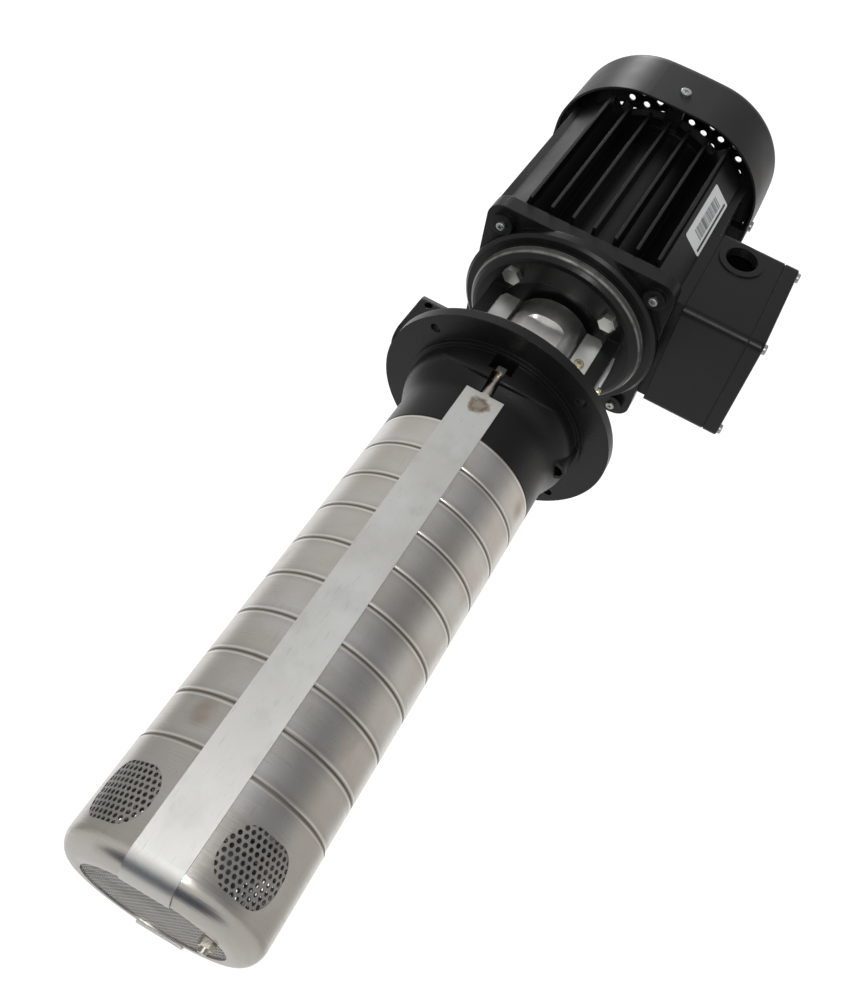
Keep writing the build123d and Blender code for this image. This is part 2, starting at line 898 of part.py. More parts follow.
def motor_end_shield():
    """Drive-end shield: round flange, square skirt, corner lobes and bearing seat."""
    ring_top = seat_z + shield_ring_h
    ring = turned(
        [
            (0, seat_z),
            (shield_face_r, seat_z),
            (shield_face_r, seat_z + shield_face_h),
            (shield_r - shield_edge, seat_z + shield_face_h),
            (shield_r, seat_z + shield_face_h + shield_edge),
            (shield_r, ring_top),
            (0, ring_top),
        ]
    )
    skirt = squarish(shield_half, shield_corner_r, ring_top - 1, shield_top)
    body = ring + skirt + rod(stool_bore_r - fit_gap, seat_z - spigot_h, seat_z + 1)
    pad_low = ring_top - shield_pad_drop
    for x, y in ring_places(corner_screw_pcd, 4):
        body = body + rod(shield_lobe_r, pad_low, shield_top, x, y)
    floor = shield_top - shield_bore_h
    body = body - rod(housing_bore_r, floor, shield_top + 1)
    hub_top = front_bearing_z + bearing_w + 1
    body = body + rod(bearing_r + bearing_hub_wall, floor - 1, hub_top)
    body = body - rod(bearing_r + fit_gap / 2, front_bearing_z, hub_top + 1)
    body = body - rod(motor_journal_r + 1.0, seat_z - spigot_h - 1, shield_top)
    for x, y in ring_places(motor_bolt_pcd, 4):
        body = body - rod(bolt_r + fit_gap, seat_z - 1, stool_h + bolt_depth + 0.5, x, y)
    for x, y in ring_places(corner_screw_pcd, 4):
        body = body - rod(corner_screw_r + fit_gap, pad_low - 1, shield_top + 1, x, y)
    return body


def corner_screws():
    """Four screws through the lobes into the stator housing."""
    pad_low = seat_z + shield_ring_h - shield_pad_drop
    out = []
    for x, y in ring_places(corner_screw_pcd, 4):
        head = rod(corner_screw_head_r, pad_low - corner_screw_head_h, pad_low, x, y)
        out.append(head + rod(corner_screw_r, pad_low, shield_top + corner_screw_bite, x, y))
    return out


def fin(offset, low, high, tip):
    """One straight fin on the -Y side with a tapered section."""
    root = -housing_bore_r * 0.72
    face = make_face(
        Polyline(
            (offset - fin_root_t / 2, root),
            (offset + fin_root_t / 2, root),
            (offset + fin_tip_t / 2, -tip),
            (offset - fin_tip_t / 2, -tip),
            close=True,
        )
    )
    return Pos(0, 0, low) * extrude(face, high - low)


def stator_housing():
    """Finned barrel with four corner flats and a saddle for the terminal box on +X."""
    barrel = rod(housing_r, shield_top, housing_top)
    half = corner_flat_w / 2
    corner = block(corner_root_r, corner_flat_r, -half, half, shield_top, housing_top)
    low = shield_top + fin_inset
    first = -(fin_count - 1) / 2 * fin_pitch
    side = fuse([fin(first + fin_pitch * k, low, housing_top, fin_tip) for k in range(fin_count)])
    pad_w = box_half_w - box_pad_inset
    pad = block(box_pad_from, box_seat_x, -pad_w, pad_w, box_z - box_pad_half_h, box_z + box_pad_half_h)
    body = fuse([barrel] + around(corner, 4, 45) + around(side, 4) + [pad])
    body = body - rod(housing_bore_r, shield_top - 1, housing_top + 1)
    deep = shield_top + corner_screw_bite + 1
    for x, y in ring_places(corner_screw_pcd, 4):
        body = body - rod(corner_screw_r + fit_gap, shield_top - 1, deep, x, y)
    return body


def stator_core():
    """Laminated core."""
    low = middle - rotor_core_h / 2
    return tube(housing_bore_r, rotor_core_r + air_gap, low, low + rotor_core_h)


def stator_windings():
    """End turns at both ends of the core."""
    low = middle - rotor_core_h / 2
    high = low + rotor_core_h
    outer = housing_bore_r - 6
    ends = []
    for z0, z1 in ((low - winding_h, low), (high, high + winding_h)):
        ring = tube(outer, outer - winding_t, z0, z1)
        ends.append(ring)
    return ends


def rear_end_shield():
    """Non-drive end shield with four arms for the fan cover."""
    plate = rod(rear_plate_r, housing_top, rear_top)
    half = corner_flat_w / 2
    corner = block(corner_root_r, corner_flat_r - rear_flat_step, -half, half, housing_top, rear_top)
    body = fuse([plate] + around(corner, 4, 45))
    arm_len = cover_half - cover_wall - fit_gap
    arm_top = cover_low + cover_screw_z + cover_arm_w / 2
    arm_low = housing_top + arm_foot_gap
    side = cover_arm_w / 2
    arm = block(arm_len - arm_t, arm_len, -side, side, arm_low, arm_top)
    foot = block(arm_foot_from, arm_len, -side, side, arm_low, rear_top)
    body = fuse([body] + around(arm + foot, 4))
    hub = rod(bearing_r + bearing_hub_wall, rear_bearing_z, rear_top)
    body = body + hub - rod(bearing_r + fit_gap / 2, rear_bearing_z - 1, rear_bearing_z + bearing_w)
    body = body - rod(motor_journal_r + 1.0, rear_bearing_z - 1, rear_top + 1)
    hole = rod_x(cover_screw_r + fit_gap, arm_len - arm_t - 1, arm_len + 1, 0, cover_low + cover_screw_z)
    for cut in around(hole, 4):
        body = body - cut
    return body


def bearing_rings(inner):
    """Inner or outer rings of the two ball bearings."""
    out = []
    for z in (front_bearing_z, rear_bearing_z):
        if inner:
            outer = motor_journal_r + bearing_ring_t
            out.append(tube(outer, motor_journal_r + press_gap, z, z + bearing_w))
        else:
            out.append(tube(bearing_r, bearing_r - bearing_ring_t, z, z + bearing_w))
    return out


def motor_shaft():
    """Stepped motor shaft."""
    core_low = middle - rotor_core_h / 2
    return turned(
        [
            (0, shaft_joint_z),
            (motor_shaft_r - 1, shaft_joint_z),
            (motor_shaft_r, shaft_joint_z + 1),
            (motor_shaft_r, seat_z),
            (motor_journal_r, seat_z),
            (motor_journal_r, front_bearing_z + bearing_w),
            (motor_journal_r + 3, front_bearing_z + bearing_w),
            (motor_journal_r + 3, rear_bearing_z),
            (motor_journal_r, rear_bearing_z),
            (motor_journal_r, rear_bearing_z + bearing_w),
            (fan_seat_r, rear_bearing_z + bearing_w),
            (fan_seat_r, rear_top + fan_gap + fan_blade_h),
            (0, rear_top + fan_gap + fan_blade_h),
        ]
    )


def rotor_core():
    """Squirrel-cage core on the shaft."""
    low = middle - rotor_core_h / 2 - 6
    return tube(rotor_core_r, motor_journal_r + 3, low, low + rotor_core_h + 12)


def fan():
    """Radial fan."""
    low = rear_top + fan_gap
    plate = rod(fan_r, low, low + fan_plate_t)
    hub = rod(fan_hub_r, low, low + fan_blade_h - 4)
    blade = block(fan_hub_r - 3, fan_r, -fan_blade_t / 2, fan_blade_t / 2, low, low + fan_blade_h)
    wheel = fuse([plate, hub] + around(blade, fan_blades))
    return wheel - rod(fan_seat_r + press_gap, low - 1, low + fan_blade_h + 1)


def cover_prism(half, corner, low, high):
    """Prism with slightly bowed sides and wide round corners."""
    far = half - cover_bow
    points = [(far, far), (-far, far), (-far, -far), (far, -far)]
    middles = [(0, half), (-half, 0), (0, -half), (half, 0)]
    sides = [ThreePointArc(points[k], middles[k], points[(k + 1) % 4]) for k in range(4)]
    face = make_face(sides)
    return Pos(0, 0, low) * extrude(fillet(face.vertices(), corner), high - low)


def fan_cover():
    """Rounded cup with rings of holes in its top."""
    outer = cover_prism(cover_half, cover_corner_r, cover_low, cover_top)
    outer = fillet(outer.faces().sort_by(Axis.Z)[-1].edges(), cover_edge_r)
    inner_corner = cover_corner_r - cover_wall
    inner = cover_prism(cover_half - cover_wall, inner_corner, cover_low - 1, cover_top - cover_wall)
    inner = fillet(inner.faces().sort_by(Axis.Z)[-1].edges(), cover_edge_r - cover_wall)
    body = outer - inner
    holes = []
    for k in range(grille_rings):
        hole = rod(grille_hole_r, cover_top - cover_wall - 1, cover_top + 1, grille_first_r + k * grille_step)
        holes += around(hole, grille_first_count + k * grille_first_count // 2)
    body = body - holes
    hole = rod_x(cover_screw_r + fit_gap, cover_half - 8, cover_half + 5, 0, cover_low + cover_screw_z)
    for cut in around(hole, 4):
        body = body - cut
    return body


def cover_screws():
    """Four pan-head screws through the cover into the arms."""
    z = cover_low + cover_screw_z
    head = rod_x(cover_screw_head_r, cover_half, cover_half + cover_screw_head_h, 0, z)
    shank = rod_x(cover_screw_r, cover_half - 7, cover_half, 0, z)
    return around(head + shank, 4)


# ---------------------------------------------------------------- terminal box
def box_prism(x0, x1, half_w, half_h, corner):
    """Prism along X with a rounded outline around the box centre."""
    face = RectangleRounded(2 * half_w, 2 * half_h, corner)
    return extrude(Plane((x0, 0, box_z), (0, 1, 0), (1, 0, 0)) * face, x1 - x0)


def lid_screw_places():
    """Corners of the lid, as (y, z)."""
    dy = box_half_w - lid_screw_inset
    dz = box_half_h - lid_screw_inset
    return [(sy * dy, box_z + sz * dz) for sy in (-1, 1) for sz in (-1, 1)]


def terminal_box():
    """Box base with screw posts and one cable entry."""
    body = box_prism(box_seat_x, box_outer_x, box_half_w, box_half_h, box_corner_r)
    inner_w = box_half_w - box_wall
    inner_h = box_half_h - box_wall
    body = body - box_prism(box_seat_x + box_wall, box_outer_x + 1, inner_w, inner_h, box_corner_r - box_wall)
    for y, z in lid_screw_places():
        body = body + rod_x(box_post_r, box_seat_x + 1, box_outer_x, y, z)
        body = body - rod_x(lid_screw_r + fit_gap, box_outer_x - lid_screw_bite - 1, box_outer_x + 1, y, z)
    wall_y = -box_half_w + box_wall
    rim = rod_y(entry_rim_r, -box_half_w - entry_rim_h, wall_y + entry_boss_in, entry_x, entry_z)
    bore = rod_y(entry_r, -box_half_w - entry_rim_h - 1, wall_y + entry_boss_in + 1, entry_x, entry_z)
    return body + rim - bore


def lid_hollow(x0, x1):
    """Hollow shared by the gasket and the lid."""
    inset = box_wall + lid_rim
    return box_prism(x0, x1, box_half_w - inset, box_half_h - inset, box_corner_r)


def lid_screw_holes(x0, x1):
    """Clearance holes for the lid screws."""
    return fuse([rod_x(lid_screw_r + fit_gap, x0, x1, y, z) for y, z in lid_screw_places()])


def box_gasket():
    """Flat gasket between box and lid."""
    high = box_outer_x + box_gasket_t
    ring = box_prism(box_outer_x, high, box_half_w - 1, box_half_h - 1, box_corner_r - 1)
    return ring - lid_hollow(box_outer_x - 1, high + 1) - lid_screw_holes(box_outer_x - 1, high + 1)


def box_lid():
    """Lid shell with a softened outer edge."""
    low = box_outer_x + box_gasket_t
    lid = box_prism(low, lid_outer_x, box_half_w, box_half_h, box_corner_r)
    lid = fillet(lid.faces().sort_by(Axis.X)[-1].edges(), lid_edge_r)
    return lid - lid_hollow(low - 1, lid_outer_x - lid_wall) - lid_screw_holes(low - 1, lid_outer_x + 1)


def lid_screws():
    """Four lid screws."""
    out = []
    for y, z in lid_screw_places():
        head = rod_x(lid_screw_head_r, lid_outer_x, lid_outer_x + lid_screw_head_h, y, z)
        out.append(head + rod_x(lid_screw_r, box_outer_x - lid_screw_bite, lid_outer_x, y, z))
    return out


def terminal_places():
    """Places of the six terminals, as (y, z)."""
    return [(14.0 * i, box_z + 9.0 * s) for i in (-1, 0, 1) for s in (-1, 1)]


def terminal_board():
    """Moulded terminal board on the box floor."""
    x0 = box_seat_x + box_wall
    board = block(x0, x0 + board_t, -board_w / 2, board_w / 2, box_z - board_h / 2, box_z + board_h / 2)
    for y, z in terminal_places():
        board = board - rod_x(terminal_r + fit_gap / 2, x0 + 2, x0 + board_t + 1, y, z)
    return board


def terminals():
    """Six brass terminal studs."""
    x0 = box_seat_x + box_wall + 2
    return [rod_x(terminal_r, x0, x0 + terminal_h, y, z) for y, z in terminal_places()]


# ---------------------------------------------------------------- output
def main():
    """Build and write every node."""
    os.makedirs("parts", exist_ok=True)
    save("pump_head", pump_head())
    for k in range(stage_count):
        top = stack_top - k * stage_pitch
        save(f"chamber_{k + 1}", chamber(top))
        save(f"impeller_{k + 1}", impeller(top))
    save("strainer_housing", strainer_housing())
    save("side_screen", side_screen())
    save("bottom_screen", bottom_screen())
    save("bottom_screws", bottom_screw())
    save("bearing_holder", bearing_holder())
    save("lower_bush", lower_bush())
    save("strap_front", strap())
    save("strap_rear", Rot(0, 0, 180) * strap())
    save("strap_studs", around(strap_stud(), 2))
    save("strap_washers", around(strap_washer(), 2))
    save("strap_nuts", around(strap_nut(), 2))
    save("seal_seat", seal_seat())
    save("seal_rotor", seal_rotor())
    save("pump_shaft", pump_shaft())
    save("coupling_pin", coupling_pin())
    save("coupling_front", coupling_half())
    save("coupling_rear", Rot(0, 0, 180) * coupling_half())
    save("coupling_screws", coupling_screws())
    save("guard_brackets", [guard_bracket(-1), guard_bracket(1), guard_side_plate()])
    save("guard_screws", guard_screws())
    save("stool_bolts", stool_bolts())
    save("motor_end_shield", motor_end_shield())
    save("corner_screws", corner_screws())
    save("stator_housing", stator_housing())
    save("stator_core", stator_core())
    save("stator_windings", stator_windings())
    save("rear_end_shield", rear_end_shield())
    save("bearing_outer_rings", bearing_rings(False))
    save("bearing_inner_rings", bearing_rings(True))
    save("motor_shaft", motor_shaft())
    save("rotor_core", rotor_core())
    save("fan", fan())
    save("fan_cover", fan_cover())
    save("fan_cover_screws", cover_screws())
    save("terminal_box", terminal_box())
    save("terminal_box_gasket", box_gasket())
    save("terminal_box_lid", box_lid())
    save("lid_screws", lid_screws())
    save("terminal_board", terminal_board())
    save("terminals", terminals())


main()
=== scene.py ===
# %% [markdown]
# # Dressing an immersible pump
#
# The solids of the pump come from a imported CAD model: a motor on a stool, a round
# tank flange, a stack of nine pressed chambers and a strainer, held together by two
# straps. The CAD gives true sizes but one plain finish. This lesson gives each part
# its paint or metal, and models the small pieces that a CAD file leaves out: the
# perforated screens, threads, recessed screw heads and a bare label.

# %% Load the frame
import json
from math import atan2, ceil, cos, degrees, pi, radians, sin, sqrt, tau

import bmesh
import bpy
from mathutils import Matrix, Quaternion, Vector


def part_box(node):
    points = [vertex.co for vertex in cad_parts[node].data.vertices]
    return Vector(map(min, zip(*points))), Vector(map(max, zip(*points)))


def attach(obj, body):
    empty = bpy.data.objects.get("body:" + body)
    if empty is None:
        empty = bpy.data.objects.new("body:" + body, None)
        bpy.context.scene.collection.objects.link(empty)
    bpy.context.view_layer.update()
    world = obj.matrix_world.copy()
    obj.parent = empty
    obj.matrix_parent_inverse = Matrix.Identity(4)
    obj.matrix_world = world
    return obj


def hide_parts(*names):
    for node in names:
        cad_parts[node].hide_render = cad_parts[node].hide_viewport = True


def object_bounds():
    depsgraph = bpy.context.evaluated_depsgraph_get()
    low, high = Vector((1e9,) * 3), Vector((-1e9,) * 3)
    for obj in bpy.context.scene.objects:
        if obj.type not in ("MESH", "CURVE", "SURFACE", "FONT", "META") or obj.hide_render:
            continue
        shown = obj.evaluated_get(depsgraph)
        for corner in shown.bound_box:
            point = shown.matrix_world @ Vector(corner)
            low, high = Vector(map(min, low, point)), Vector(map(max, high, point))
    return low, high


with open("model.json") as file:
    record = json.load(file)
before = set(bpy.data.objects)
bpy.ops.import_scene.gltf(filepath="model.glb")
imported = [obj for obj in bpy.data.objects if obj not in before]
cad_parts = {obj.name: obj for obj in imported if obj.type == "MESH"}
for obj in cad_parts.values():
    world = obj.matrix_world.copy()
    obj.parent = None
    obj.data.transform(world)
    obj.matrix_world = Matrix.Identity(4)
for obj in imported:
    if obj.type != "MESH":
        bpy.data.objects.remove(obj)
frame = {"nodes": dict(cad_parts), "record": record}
# metres in a millimetre, and how close two vertices are when they are one
MM = 0.001
MERGE = 1e-6
cad_low, cad_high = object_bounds()
print("CAD box in metres", [round(v, 4) for v in (*cad_low, *cad_high)])

# %% [markdown]
# ## Working by hand, in code
#
# Every operator works on what is selected, and the loaded nodes start out selected.
# So each piece begins with nothing selected, and ends with its place written into
# its mesh, which is how the CAD nodes are kept too. Faces and edges are picked by
# their place, because nobody is there to click on them.


# %% Modes and selection
def fresh():
    """Nothing selected, and object mode."""
    if bpy.context.object and bpy.context.object.mode != "OBJECT":
        bpy.ops.object.mode_set(mode="OBJECT")
    bpy.ops.object.select_all(action="DESELECT")


def hold(*pieces):
    """Object mode with only these pieces selected, the first one active."""
    fresh()
    for piece in pieces:
        piece.select_set(True)
    bpy.context.view_layer.objects.active = pieces[0]


def edit(piece):
    """Edit mode on one piece, with nothing of it selected."""
    hold(piece)
    bpy.ops.object.mode_set(mode="EDIT")
    bpy.ops.mesh.select_all(action="DESELECT")


def pick(piece, test, kind="faces"):
    """Select the faces, edges or vertices for which the test holds."""
    mesh = bmesh.from_edit_mesh(piece.data)
    bpy.ops.mesh.select_all(action="DESELECT")
    for item in getattr(mesh, kind):
        item.select_set(bool(test(item)))
    mesh.select_flush_mode()
    bmesh.update_edit_mesh(piece.data)


def select_by(mode):
    """Selection mode: VERT, EDGE or FACE."""
    bpy.ops.mesh.select_mode(type=mode)


def merge_all(piece, reach):
    """Merge the vertices that lie this close together."""
    edit(piece)
    bpy.ops.mesh.select_all(action="SELECT")
    bpy.ops.mesh.remove_doubles(threshold=reach)
    fresh()


print("modes and selection ready")


# %% Modifiers, places and copies
def apply_all(piece):
    """Apply every modifier of a piece, in order."""
    hold(piece)
    for name in [m.name for m in piece.modifiers]:
        bpy.ops.object.modifier_apply(modifier=name)


def modifier(piece, kind, **settings):
    """Add one modifier with its settings."""
    made = piece.modifiers.new(kind.title(), kind)
    for name, value in settings.items():
        setattr(made, name, value)
    return made


def settle(piece):
    """Write the place, turn and size of an object into its mesh."""
    hold(piece)
    bpy.ops.object.transform_apply(location=True, rotation=True, scale=True)


def face_out(piece):
    """Merge doubles and turn every face outwards."""
    edit(piece)
    bpy.ops.mesh.select_all(action="SELECT")
    bpy.ops.mesh.remove_doubles(threshold=MERGE)
    bpy.ops.mesh.normals_make_consistent(inside=False)
    fresh()


def soften(piece, angle=35.0):
    """Smooth shading that keeps real edges sharp."""
    hold(piece)
    bpy.ops.object.shade_smooth_by_angle(angle=radians(angle))


def copy_to(piece, name, place, turn=(0, 0, 0)):
    """A copy with its own mesh, turned and then put in place."""
    twin = piece.copy()
    twin.data = piece.data.copy()
    twin.name = name
    bpy.context.scene.collection.objects.link(twin)
    twin.rotation_euler = turn
    twin.location = place
    settle(twin)
    return twin


def join(pieces, name):
    """Several meshes as one object."""
    hold(*pieces)
    if len(pieces) > 1:
        bpy.ops.object.join()
    pieces[0].name = name
    return pieces[0]


print("modifiers, places and copies ready")


# %% Places of a node's solids
def solid_boxes(node):
    """Box of each separate solid of a node, as (centre, low, high)."""
    mesh = bmesh.new()
    mesh.from_mesh(frame["nodes"][node].data)
    bmesh.ops.remove_doubles(mesh, verts=mesh.verts, dist=MERGE)
    seen = set()
    found = []
    for start in mesh.verts:
        if start in seen:
            continue
        group = [start]
        seen.add(start)
        for vert in group:
            for edge in vert.link_edges:
                other = edge.other_vert(vert)
                if other not in seen:
                    seen.add(other)
                    group.append(other)
        low = Vector(min(v.co[k] for v in group) for k in range(3))
        high = Vector(max(v.co[k] for v in group) for k in range(3))
        found.append(((low + high) / 2, low, high))
    mesh.free()
    return found


print("screws on the fan cover:", len(solid_boxes("fan_cover_screws")))

# %% [markdown]
# ## Shader maths as plain sums
#
# A finish is mostly arithmetic on a place: how far round, how far up, how noisy.
# A small class wraps a socket, so that `1 - mask * 0.5` adds its Math nodes. One
# method, `node`, makes every other kind.


# %% Sockets that can be added and multiplied
class Wire:
    """One output socket, used as a value in a Python expression."""

    def __init__(self, sheet, socket):
        self.sheet = sheet
        self.socket = socket

    def maths(self, operation, *others):
        """One Math node on this socket and what follows it."""
        return self.sheet.node("Math", {"operation": operation}, dict(enumerate((self, *others))))

    def __add__(self, other):
        return self.maths("ADD", other)

    def __sub__(self, other):
        return self.maths("SUBTRACT", other)

    def __mul__(self, other):
        return self.maths("MULTIPLY", other)

    def __truediv__(self, other):
        return self.maths("DIVIDE", other)

    def __rsub__(self, other):
        return self.sheet.node("Math", {"operation": "SUBTRACT"}, {0: other, 1: self})

    __radd__ = __add__
    __rmul__ = __mul__

    def __abs__(self):
        return self.maths("ABSOLUTE")

    def __mod__(self, other):
        return self.maths("FLOORED_MODULO", other)

    def __gt__(self, other):
        return self.maths("GREATER_THAN", other)

    def __pow__(self, other):
        return self.maths("POWER", other)

    def whole(self):
        """Rounded down to a whole number."""
        return self.maths("FLOOR")

    def fade(self, start, end):
        """0 at start, 1 at end, smooth between; either may be the larger."""
        sockets = {"Value": self, "From Min": start, "From Max": end}
        return self.sheet.node("MapRange", {"interpolation_type": "SMOOTHSTEP"}, sockets)


print("sockets ready")


# %% A node tree being written
class Sheet:
    """A node tree being written, of a material or of the world."""

    def __init__(self, owner):
        owner.use_nodes = True
        self.tree = owner.node_tree

    def feed(self, socket, value):
        """Link a socket, or give it a value."""
        if isinstance(value, Wire):
            self.tree.links.new(value.socket, socket)
        elif socket.type == "RGBA" and len(value) == 3:
            socket.default_value = (*value, 1.0)
        else:
            socket.default_value = value

    def node(self, kind, settings=None, sockets=None, output=0):
        """Any node, from its type, settings, and the values or links of its sockets."""
        made = self.tree.nodes.new("ShaderNode" + kind)
        for name, value in (settings or {}).items():
            setattr(made, name, value)
        for name, value in (sockets or {}).items():
            self.feed(made.inputs[name], value)
        return Wire(self, made.outputs[output])

    def ramp(self, amount, stops):
        """Colours by amount, from (amount, colour) stops in rising order."""
        made = self.node("ValToRGB", sockets={"Fac": amount})
        elements = made.socket.node.color_ramp.elements
        while len(elements) < len(stops):
            elements.new(1.0)
        for element, (position, colour) in zip(elements, stops):
            element.position = position
            element.color = (*colour, 1.0)
        return made

    def mix(self, amount, first, second):
        """One colour turning into another."""
        sockets = {0: amount, 6: first, 7: second}
        return self.node("Mix", {"data_type": "RGBA"}, sockets, output=2)

    def split(self, whole):
        """The three parts of a vector."""
        parts = self.node("SeparateXYZ", sockets={0: whole}).socket.node.outputs
        return [Wire(self, parts[k]) for k in range(3)]


print("node trees ready")


# %% A material being written
class Finish(Sheet):
    """A material being written: its nodes and the shader they end in."""

    def __init__(self, name, **constants):
        self.name = name
        self.material = bpy.data.materials.new(name)
        super().__init__(self.material)
        self.shader = self.tree.nodes["Principled BSDF"]
        self.tune(**constants)

    def place(self):
        """Object coordinates, which are the frame's own metres."""
        return self.node("TexCoord", output="Object")

    def axes(self):
        """The three object coordinates in millimetres."""
        return [part * 1000.0 for part in self.split(self.place())]

    def noise(self, scale, detail=3.0, stretch=(1, 1, 1), roughness=0.5):
        """Soft noise, about 0 to 1; scale is cells per metre before the stretch."""
        spot = self.node("Mapping", sockets={"Vector": self.place(), "Scale": stretch})
        sockets = {"Vector": spot, "Scale": scale, "Detail": detail, "Roughness": roughness}
        return self.node("TexNoise", sockets=sockets)

    def tune(self, **inputs):
        """Feed values to the shader's sockets."""
        for name, value in inputs.items():
            self.feed(self.shader.inputs[name.replace("_", " ")], value)

    def relief(self, height, depth, under=None):
        """A bump of the given depth in metres, over an already bent normal if there is one."""
        sockets = {"Height": height, "Distance": depth}
        if under:
            sockets["Normal"] = under
        self.tune(Normal=self.node("Bump", sockets=sockets))


def lighter(colour, factor):
    """A lighter tone of a dark colour, a little more so where it is nearly black."""
    return tuple(c * factor + 0.003 for c in colour)


print("finish maker ready")

# %% [markdown]
# ## Black paint
#
# Castings, motor barrel and terminal box are satin black. Real paint is never one
# value: it is duller where it was rubbed and it lies over a sand-cast skin. So the
# roughness wanders slowly, a fine grain is laid over it as a bump, and the edges
# are rounded in the shading. The cover is pressed sheet, with almost no grain. On the
# machined rim of the stool a patchy grey band is painted in as a sheen, in place of a reflection.


# %% Satin black
def black_paint(name, colour, roughness, grain, grain_size, edge):
    """Satin paint; grain is the depth of its skin and edge its rounding, all sizes in mm."""
    paint = Finish(name, Specular_IOR_Level=0.3)
    rubbed = paint.noise(28.0, 4.0)
    fine = paint.noise(1000.0 / grain_size, 2.0)
    dust = paint.noise(9.0, 5.0, roughness=0.65).fade(0.5, 0.85)
    paint.tune(Base_Color=paint.mix(dust * 0.5, colour, lighter(colour, 1.7)))
    paint.tune(Roughness=rubbed * 0.22 + roughness + dust * 0.08)
    rounded = paint.node("Bevel", {"samples": 4}, {"Radius": edge * MM})
    paint.relief(fine, grain * MM, under=rounded)
    return paint


jet = (0.005, 0.005, 0.0055)
dark_grey = (0.014, 0.014, 0.0155)
cast_paint = black_paint("cast_black", jet, 0.24, grain=0.10, grain_size=2.2, edge=1.0)
box_paint = black_paint("box_black", jet, 0.24, grain=0.05, grain_size=1.6, edge=0.8)
cover_paint = black_paint("cover_black", dark_grey, 0.32, grain=0.03, grain_size=1.2, edge=0.6)
paints = [cast_paint, box_paint, cover_paint]
print("paints", [paint.name for paint in paints])


# %% Painted sheen on the rim of the stool
def paint_rim_sheen(paint, centre_z, radius):
    """A painted sheen on the machined rim of the stool: patchy grey metal in the base colour, in
    place of a reflection; sizes in mm.
    """
    x, y, z = paint.axes()
    out = (x * x + y * y) ** 0.5
    inner_edge = out.fade(radius - 1.4, radius - 0.5)
    outer_edge = out.fade(radius + 1.5, radius + 0.6)
    level = abs(z - centre_z).fade(6.0, 4.0)
    rim = inner_edge * level * outer_edge
    patchy = paint.noise(90.0, 3.0).fade(0.3, 0.55)
    # painted sheen: a patchy grey band in the base colour, with more metallic, in place of the
    # reflection on the rim
    rim_sheen = rim * (patchy * 0.6 + 0.4)
    paint.tune(Metallic=rim_sheen * 0.8)
    painted = Wire(paint, paint.shader.inputs["Base Color"].links[0].from_socket)
    paint.tune(Base_Color=paint.mix(rim_sheen * 0.8, painted, rim_sheen_grey))


# grey of the painted sheen on the stool rim
rim_sheen_grey = (0.34, 0.34, 0.33)
stool_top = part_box("pump_head")[1].z / MM
rim_drop = 5.0
rim_r = 73.0
paint_rim_sheen(cast_paint, stool_top - rim_drop, rim_r)
print("rim at mm", round(stool_top - rim_drop, 1))

# %% [markdown]
# ## Stainless steel
#
# The chambers are deep-drawn cups, polished while they turned, so their marks run round.
# Grime sits in each joint, with a painted highlight line beside it, and the metal is a
# little straw-coloured. Two cups carry a faint heat tint, left quite plain here. The strap
# is strip steel: its marks run along it, and a brown blotch is left where the stud was welded
# behind it.

# %% Sizes that the metal finishes follow
chamber_low, chamber_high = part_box("chamber_1")
stack_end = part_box("chamber_9")[0].z
pitch = chamber_high.z - chamber_low.z
stack_r = chamber_high.x
strap_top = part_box("strap_front")[1].z
weld_drop = 10.0 * MM
print("pitch mm", round(pitch / MM, 2), "stack radius mm", round(stack_r / MM, 2))


# %% Stainless sheet of the chambers and the strainer, distances in mm
straw = (0.56, 0.53, 0.49)
clean_steel = (0.62, 0.61, 0.59)
heat_brown = (0.30, 0.21, 0.13)
stain_grey = (0.34, 0.30, 0.25)
joint_grime = (0.20, 0.17, 0.14)
# colour of the painted highlight on the lip beside each joint
lip_highlight_colour = (0.86, 0.85, 0.82)


def spot(finish, azimuth, height, radius, reach):
    """A soft round patch on the stack, 1 at its middle: degrees from -Y towards +X, and mm."""
    x, y, z = finish.axes()
    angle = radians(azimuth)
    across = x * cos(angle) + y * sin(angle)
    facing = (x * sin(angle) - y * cos(angle)) > 0.0
    up = z - height
    distance = (across * across + up * up) ** 0.5
    return distance.fade(radius + reach, radius - reach) * facing


